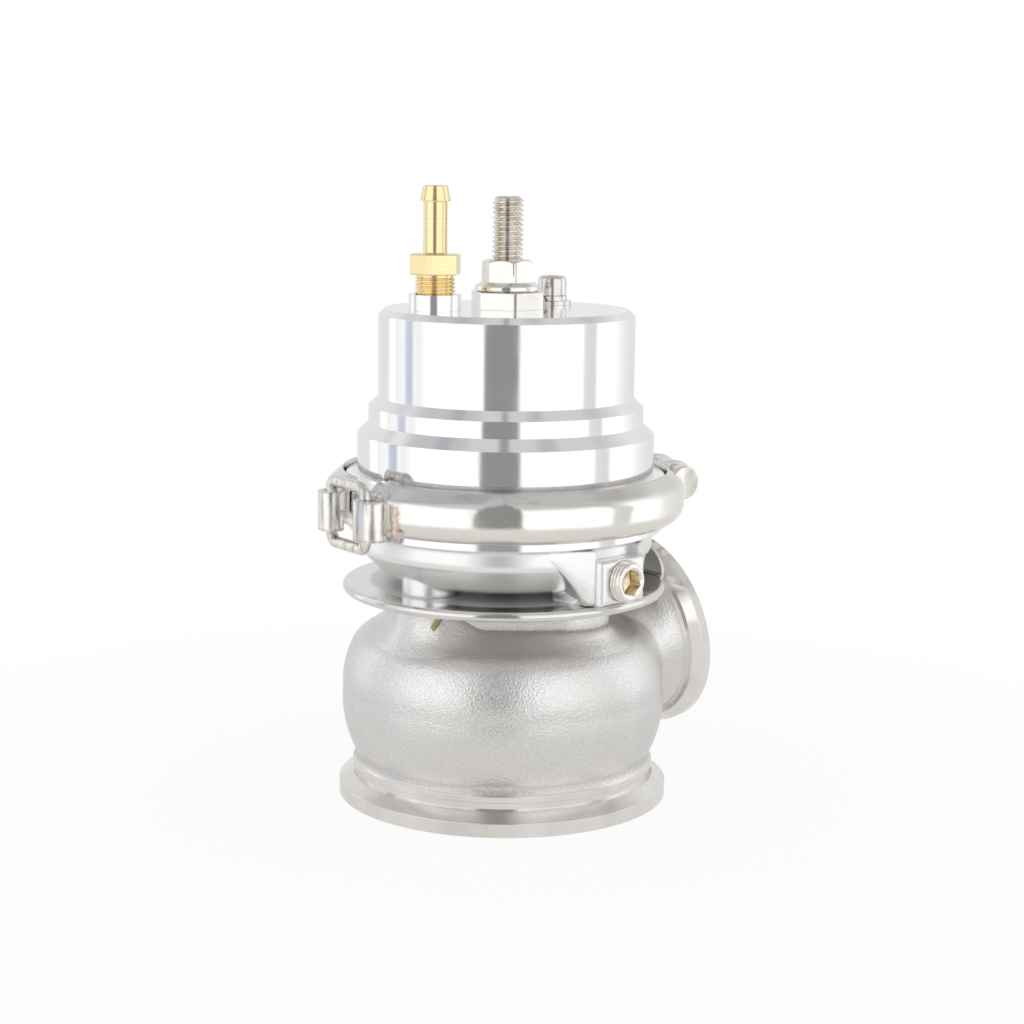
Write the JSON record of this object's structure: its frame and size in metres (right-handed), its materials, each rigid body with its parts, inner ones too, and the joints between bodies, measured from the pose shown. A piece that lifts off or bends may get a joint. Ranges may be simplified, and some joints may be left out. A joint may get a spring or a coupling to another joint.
{
  "type": "external turbo wastegate",
  "caption": "External turbocharger wastegate: poppet valve in a cast housing with two V-band ports, under a clamped spring and diaphragm actuator with a hose fitting and a preload adjuster.",
  "frame": {"origin": "centre of the inlet flange's sealing face, on the valve's axis", "axes": "+Z along the valve axis from the inlet towards the actuator; the outlet leaves towards +X and +Y, 38 degrees round from +X; -Y is the side with the clamp's link on its left"},
  "size_m": [0.1036, 0.0991, 0.16],
  "materials": {
    "cast_steel": "investment-cast stainless steel, pebbled, machined flanges",
    "seat_steel": "ground hard steel",
    "bronze": "machined bronze",
    "valve_steel": "forged heat-resisting steel, ground stem",
    "turned_aluminium": "turned",
    "plated_steel": "zinc plated",
    "gasket_steel": "thin heat-tinted steel",
    "shield_steel": "bright pressed stainless sheet",
    "cast_aluminium": "fine-grained casting, machined lip",
    "black_steel": "black oxide",
    "gold_steel": "yellow chromate plated steel",
    "seal_rubber": "fluoro rubber, matt",
    "diaphragm_rubber": "fabric-reinforced silicone rubber, matt",
    "spring_steel": "painted spring wire",
    "polished_aluminium": "fine turned and polished",
    "satin_nickel": "satin nickel plate",
    "bright_nickel": "bright nickel plate",
    "brass": "turned",
    "stainless": "plain stainless steel",
    "polished_stainless": "polished stainless steel"
  },
  "bodies": {
    "housing": {"valve_housing": "cast_steel", "valve_seat": "seat_steel", "valve_guide": "bronze", "shield_gasket": "gasket_steel", "heat_shield": "shield_steel", "actuator_base": "cast_aluminium", "base_bolts": "black_steel", "port_plug": "gold_steel", "stem_seal": "seal_rubber", "seal_circlip": "plated_steel", "diaphragm": "diaphragm_rubber", "outer_spring": "spring_steel", "inner_spring": "spring_steel", "actuator_cap": "polished_aluminium", "adjuster_bush": "satin_nickel", "stud_seal": "seal_rubber", "hose_barb": "brass", "vent_screw": "stainless", "vent_washer": "stainless", "vent_spring_washer": "stainless", "clamp_rear_half": "polished_stainless", "clamp_nut": "stainless"},
    "valve": {"valve": "valve_steel", "piston_lower": "turned_aluminium", "piston_upper": "turned_aluminium", "stem_washer": "plated_steel", "stem_nut": "plated_steel"},
    "spring_seat": {"spring_seat": "turned_aluminium"},
    "adjuster": {"adjuster_stud": "bright_nickel"},
    "lock_nut": {"lock_nut": "bright_nickel"},
    "ring_link": {"ring_link": "polished_stainless"},
    "front_clamp": {"clamp_front_half": "polished_stainless"},
    "clamp_washer": {"clamp_washer": "stainless"},
    "clamp_bolt": {"clamp_bolt": "bright_nickel"}
  },
  "joints": [
    {"name": "valve_lift", "type": "slide", "parent": "housing", "child": "valve", "axis": [0, 0, 1], "range_m": [0, 0.008], "stiffness_N_per_m": 20000, "springref_m": -0.012, "deforming": ["outer_spring", "inner_spring", "diaphragm"]},
    {"name": "adjuster_run", "type": "slide", "parent": "housing", "child": "spring_seat", "axis": [0, 0, 1], "range_m": [-0.008, 0.002], "deforming": ["outer_spring", "inner_spring"]},
    {"name": "adjuster_turn", "type": "hinge", "parent": "spring_seat", "child": "adjuster", "pos_m": [0, 0, 0.13], "axis": [0, 0, 1], "range_deg": [-2310, 580]},
    {"name": "lock_nut_turn", "type": "hinge", "parent": "housing", "child": "lock_nut", "pos_m": [0, 0, 0.137], "axis": [0, 0, 1], "range_deg": [0, 90]},
    {"name": "ring_swing", "type": "hinge", "parent": "housing", "child": "ring_link", "pos_m": [-0.04385, -0.02073, 0.0785], "axis": [0, 0, 1], "range_deg": [-1.12, 0]},
    {"name": "front_half_swing", "type": "hinge", "parent": "ring_link", "child": "front_clamp", "pos_m": [-0.03447, -0.03411, 0.0785], "axis": [0, 0, 1], "range_deg": [-1.58, 0]},
    {"name": "clamp_bolt_run", "type": "slide", "parent": "housing", "child": "clamp_washer", "axis": [0.5592, -0.829, 0], "range_m": [0, 0.005]},
    {"name": "clamp_bolt_turn", "type": "hinge", "parent": "clamp_washer", "child": "clamp_bolt", "pos_m": [0.0441, 0.02975, 0.0798], "axis": [0.5592, -0.829, 0], "range_deg": [0, 1810]}
  ],
  "couplings": [
    {"joint": "adjuster_turn", "follows": "adjuster_run", "rad_per_m": 5026.5},
    {"joint": "clamp_bolt_turn", "follows": "clamp_bolt_run", "rad_per_m": 6283.2},
    {"joint": "ring_swing", "follows": "clamp_bolt_run", "rad_per_m": -3.8397},
    {"joint": "front_half_swing", "follows": "clamp_bolt_run", "rad_per_m": -5.4105}
  ]
}
